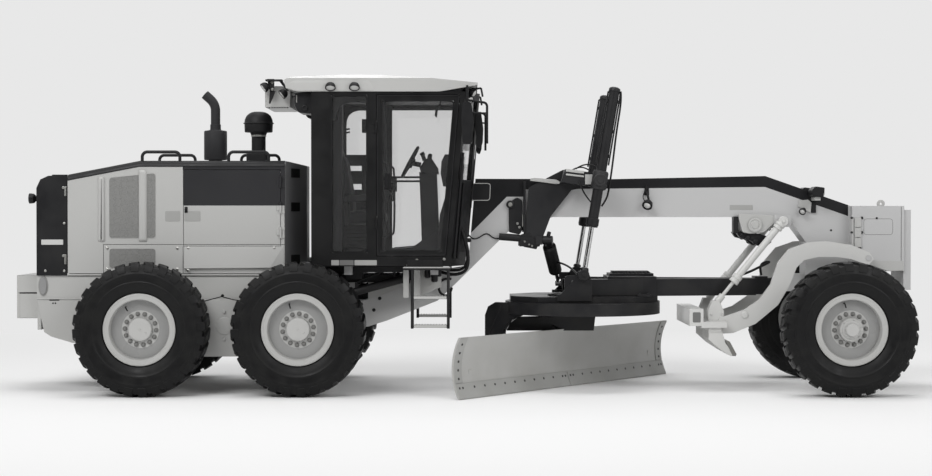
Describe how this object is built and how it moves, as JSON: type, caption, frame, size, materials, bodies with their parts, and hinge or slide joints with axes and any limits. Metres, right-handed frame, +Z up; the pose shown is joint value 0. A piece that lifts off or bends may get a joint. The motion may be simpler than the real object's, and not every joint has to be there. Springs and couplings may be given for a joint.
{
  "type": "motor grader",
  "caption": "Articulated road grader with a curved blade hung from a circle under an arched frame, glazed cab, rear engine, tandem rear wheels and a front scarifier.",
  "frame": {"origin": "on the ground under the middle of the machine's overall length, on its centre plane", "axes": "+X forward, +Y to the machine's left, +Z up"},
  "size_m": [9.111, 2.9199, 3.2],
  "materials": {
    "blade_steel": "painted, worn",
    "cab_glass": "clear, lightly tinted",
    "cast_paint": "painted",
    "console_plastic": "moulded",
    "cylinder_chrome": "polished",
    "dark_paint": "satin",
    "light_paint": "gloss",
    "mirror_plastic": "moulded",
    "rim_paint": "gloss",
    "seat_cloth": "woven",
    "tyre_rubber": "matte"
  },
  "bodies": {
    "rear_frame": {"rear_frame": "dark_paint", "rear_axle": "dark_paint", "tandem_cases": "light_paint", "rear_block": "dark_paint", "engine_hood": "light_paint", "rear_cowl": "dark_paint", "engine_block": "cast_paint", "exhaust_stack": "dark_paint", "pre_cleaner": "dark_paint", "hood_handrails": "dark_paint"},
    "rear_door": {"rear_door": "dark_paint"},
    "hood_door_right": {"hood_door_right": "light_paint"},
    "hood_door_left": {"hood_door_left": "light_paint"},
    "front_frame": {"front_frame": "light_paint", "lift_arms": "dark_paint", "front_axle": "dark_paint", "bolster_foot": "dark_paint", "cab_shell": "dark_paint", "cab_glass": "cab_glass", "cab_roof": "light_paint", "seat": "seat_cloth", "steering_console": "console_plastic", "ladders": "light_paint", "mirrors": "mirror_plastic"},
    "cab_door_right": {"cab_door_right": "dark_paint", "door_glass_right": "cab_glass"},
    "cab_door_left": {"cab_door_left": "dark_paint", "door_glass_left": "cab_glass"},
    "articulation_barrel_right": {"articulation_barrel_right": "dark_paint"},
    "articulation_barrel_left": {"articulation_barrel_left": "dark_paint"},
    "articulation_rod_right": {"articulation_rod_right": "cylinder_chrome"},
    "articulation_rod_left": {"articulation_rod_left": "cylinder_chrome"},
    "lean_frame_right": {"lean_frame_right": "dark_paint"},
    "lean_frame_left": {"lean_frame_left": "dark_paint"},
    "lean_bar": {"lean_bar": "dark_paint"},
    "knuckle_right": {"knuckle_right": "dark_paint"},
    "knuckle_left": {"knuckle_left": "dark_paint"},
    "drawbar": {"drawbar": "dark_paint"},
    "lift_barrels": {"lift_barrels": "dark_paint"},
    "lift_rods": {"lift_rods": "cylinder_chrome"},
    "shift_barrel": {"shift_barrel": "dark_paint"},
    "shift_rod": {"shift_rod": "cylinder_chrome"},
    "circle": {"circle": "dark_paint"},
    "blade_carriage": {"blade_carriage": "dark_paint"},
    "moldboard": {"moldboard": "blade_steel"},
    "scarifier": {"scarifier": "light_paint"},
    "scarifier_barrels": {"scarifier_barrels": "light_paint"},
    "scarifier_rods": {"scarifier_rods": "cylinder_chrome"},
    "wheel_rear_right": {"tyre_rear_right": "tyre_rubber", "rim_rear_right": "rim_paint"},
    "wheel_rear_left": {"tyre_rear_left": "tyre_rubber", "rim_rear_left": "rim_paint"},
    "wheel_middle_right": {"tyre_middle_right": "tyre_rubber", "rim_middle_right": "rim_paint"},
    "wheel_middle_left": {"tyre_middle_left": "tyre_rubber", "rim_middle_left": "rim_paint"},
    "wheel_front_right": {"tyre_front_right": "tyre_rubber", "rim_front_right": "rim_paint"},
    "wheel_front_left": {"tyre_front_left": "tyre_rubber", "rim_front_left": "rim_paint"}
  },
  "joints": [
    {"name": "articulation", "type": "hinge", "parent": "rear_frame", "child": "front_frame", "pos_m": [-1.3995, 0, 0.76], "axis": [0, 0, 1], "range_deg": [-22, 22]},
    {"name": "wheel_rear_right_spin", "type": "hinge", "parent": "rear_frame", "child": "wheel_rear_right", "pos_m": [-3.1695, -1.04, 0.66], "axis": [0, 1, 0], "continuous": true},
    {"name": "wheel_rear_left_spin", "type": "hinge", "parent": "rear_frame", "child": "wheel_rear_left", "pos_m": [-3.1695, 1.04, 0.66], "axis": [0, 1, 0], "continuous": true},
    {"name": "wheel_middle_right_spin", "type": "hinge", "parent": "rear_frame", "child": "wheel_middle_right", "pos_m": [-1.6295, -1.04, 0.66], "axis": [0, 1, 0], "continuous": true},
    {"name": "wheel_middle_left_spin", "type": "hinge", "parent": "rear_frame", "child": "wheel_middle_left", "pos_m": [-1.6295, 1.04, 0.66], "axis": [0, 1, 0], "continuous": true},
    {"name": "rear_door_swing", "type": "hinge", "parent": "rear_frame", "child": "rear_door", "pos_m": [-4.3265, 0.5, 1.6], "axis": [0, 0, -1], "range_deg": [0, 110]},
    {"name": "hood_door_right_swing", "type": "hinge", "parent": "rear_frame", "child": "hood_door_right", "pos_m": [-1.8545, -0.582, 1.85], "axis": [0, 0, 1], "range_deg": [0, 90]},
    {"name": "hood_door_left_swing", "type": "hinge", "parent": "rear_frame", "child": "hood_door_left", "pos_m": [-1.8545, 0.582, 1.85], "axis": [0, 0, -1], "range_deg": [0, 90]},
    {"name": "cab_door_right_swing", "type": "hinge", "parent": "front_frame", "child": "cab_door_right", "pos_m": [-0.8845, -0.762, 2.2], "axis": [0, 0, -1], "range_deg": [0, 90]},
    {"name": "cab_door_left_swing", "type": "hinge", "parent": "front_frame", "child": "cab_door_left", "pos_m": [-0.8845, 0.762, 2.2], "axis": [0, 0, 1], "range_deg": [0, 90]},
    {"name": "articulation_barrel_right_swing", "type": "hinge", "parent": "front_frame", "child": "articulation_barrel_right", "pos_m": [-0.5995, -0.45, 1.14], "axis": [0, 0, 1], "range_deg": [-5.52, 5.52]},
    {"name": "articulation_rod_right_slide", "type": "slide", "parent": "articulation_barrel_right", "child": "articulation_rod_right", "axis": [-0.9639, 0, -0.2662], "range_m": [-0.1693, 0.1693]},
    {"name": "articulation_barrel_left_swing", "type": "hinge", "parent": "front_frame", "child": "articulation_barrel_left", "pos_m": [-0.5995, 0.45, 1.14], "axis": [0, 0, 1], "range_deg": [-5.52, 5.52]},
    {"name": "articulation_rod_left_slide", "type": "slide", "parent": "articulation_barrel_left", "child": "articulation_rod_left", "axis": [-0.9639, 0, -0.2662], "range_m": [-0.1693, 0.1693]},
    {"name": "wheel_lean", "type": "hinge", "parent": "front_frame", "child": "lean_frame_left", "pos_m": [3.7605, 0.64, 0.58], "axis": [-1, 0, 0], "range_deg": [-20, 20]},
    {"name": "wheel_lean_right", "type": "hinge", "parent": "front_frame", "child": "lean_frame_right", "pos_m": [3.7605, -0.64, 0.58], "axis": [-1, 0, 0], "range_deg": [-20, 20]},
    {"name": "lean_bar_pivot", "type": "hinge", "parent": "lean_frame_left", "child": "lean_bar", "pos_m": [3.7605, 0.64, 0.93], "axis": [-1, 0, 0], "range_deg": [-20, 20]},
    {"name": "steering", "type": "hinge", "parent": "lean_frame_left", "child": "knuckle_left", "pos_m": [3.7605, 0.8, 0.66], "axis": [0, 0, 1], "range_deg": [-40, 40]},
    {"name": "steering_right", "type": "hinge", "parent": "lean_frame_right", "child": "knuckle_right", "pos_m": [3.7605, -0.8, 0.66], "axis": [0, 0, 1], "range_deg": [-40, 40]},
    {"name": "wheel_front_right_spin", "type": "hinge", "parent": "knuckle_right", "child": "wheel_front_right", "pos_m": [3.7605, -1.04, 0.66], "axis": [0, 1, 0], "continuous": true},
    {"name": "wheel_front_left_spin", "type": "hinge", "parent": "knuckle_left", "child": "wheel_front_left", "pos_m": [3.7605, 1.04, 0.66], "axis": [0, 1, 0], "continuous": true},
    {"name": "drawbar_lift", "type": "hinge", "parent": "front_frame", "child": "drawbar", "pos_m": [3.3205, 0, 1.08], "axis": [0, 1, 0], "range_deg": [-5, 10]},
    {"name": "lift_barrels_swing", "type": "hinge", "parent": "front_frame", "child": "lift_barrels", "pos_m": [1.3485, 0, 2.126], "axis": [0, 1, 0], "range_deg": [-1.2, 2.09]},
    {"name": "lift_rods_slide", "type": "slide", "parent": "lift_barrels", "child": "lift_rods", "axis": [0.1639, 0, 0.9865], "range_m": [-0.1891, 0.3742]},
    {"name": "shift_barrel_swing", "type": "hinge", "parent": "front_frame", "child": "shift_barrel", "pos_m": [0.8475, -0.19, 1.518], "axis": [0.9754, -0.2203, 0], "range_deg": [-14.28, 28.07]},
    {"name": "shift_rod_slide", "type": "slide", "parent": "shift_barrel", "child": "shift_rod", "axis": [0.1787, 0.7914, -0.5846], "range_m": [-0.1867, 0.0953]},
    {"name": "circle_turn", "type": "hinge", "parent": "drawbar", "child": "circle", "pos_m": [1.2155, 0, 0.83], "axis": [0, 0, 1], "range_deg": [-15, 70]},
    {"name": "blade_pitch", "type": "hinge", "parent": "circle", "child": "blade_carriage", "pos_m": [0.95052, 0.21305, 0.33], "axis": [0.6266, 0.7793, 0], "range_deg": [-5, 40]},
    {"name": "blade_side_shift", "type": "slide", "parent": "blade_carriage", "child": "moldboard", "axis": [0.6266, 0.7793, 0], "range_m": [-0.61, 0.75]},
    {"name": "scarifier_lift", "type": "hinge", "parent": "front_frame", "child": "scarifier", "pos_m": [4.0905, 0, 1.34], "axis": [0, 1, 0], "range_deg": [-20, 0]},
    {"name": "scarifier_barrels_swing", "type": "hinge", "parent": "front_frame", "child": "scarifier_barrels", "pos_m": [3.2405, 0, 1.715], "axis": [0, 1, 0], "range_deg": [-21.72, 0.5]},
    {"name": "scarifier_rods_slide", "type": "slide", "parent": "scarifier_barrels", "child": "scarifier_rods", "axis": [0.6317, 0, 0.7753], "range_m": [-0.3266, 0.005]}
  ],
  "couplings": [
    {"joint": "articulation_barrel_right_swing", "follows": "articulation", "ratio": -0.22833},
    {"joint": "articulation_rod_right_slide", "follows": "articulation", "m_per_rad": 0.42801},
    {"joint": "articulation_barrel_left_swing", "follows": "articulation", "ratio": -0.22833},
    {"joint": "articulation_rod_left_slide", "follows": "articulation", "m_per_rad": -0.42801},
    {"joint": "wheel_lean_right", "follows": "wheel_lean", "ratio": 1},
    {"joint": "lean_bar_pivot", "follows": "wheel_lean", "ratio": -1},
    {"joint": "steering_right", "follows": "steering", "ratio": 1},
    {"joint": "lift_barrels_swing", "follows": "drawbar_lift", "ratio": 0.17942},
    {"joint": "lift_rods_slide", "follows": "drawbar_lift", "m_per_rad": 2.1209},
    {"joint": "shift_barrel_swing", "follows": "drawbar_lift", "ratio": 2.7567},
    {"joint": "shift_rod_slide", "follows": "drawbar_lift", "m_per_rad": -1.0467},
    {"joint": "scarifier_barrels_swing", "follows": "scarifier_lift", "ratio": 1.0608},
    {"joint": "scarifier_rods_slide", "follows": "scarifier_lift", "m_per_rad": 0.9212}
  ]
}
